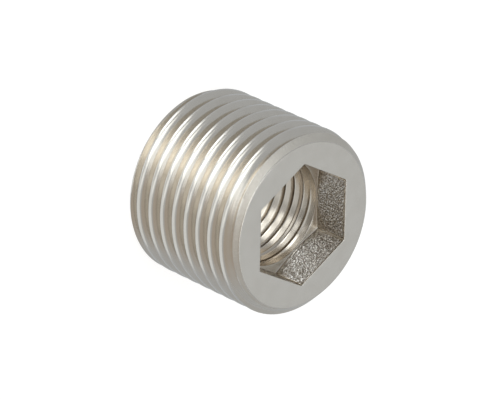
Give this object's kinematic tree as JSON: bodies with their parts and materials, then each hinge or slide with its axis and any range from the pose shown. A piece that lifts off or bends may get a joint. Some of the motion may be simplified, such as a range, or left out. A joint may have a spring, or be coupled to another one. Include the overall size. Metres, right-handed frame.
{
  "type": "reducing bushing",
  "caption": "Short pipe-reducing bushing: outside thread over its whole length, smaller inside thread, and a hexagon socket for a key in one end.",
  "frame": {"origin": "centre of the plain end face, the end that goes into the larger fitting first", "axes": "+Z along the axis and out of the hexagon socket, +X through a corner of the hexagon"},
  "size_m": [0.0204, 0.0204, 0.016],
  "materials": {
    "nickel_plated_brass": "satin nickel plating over turned brass"
  },
  "bodies": {
    "root": {"bushing": "nickel_plated_brass"}
  },
  "joints": []
}
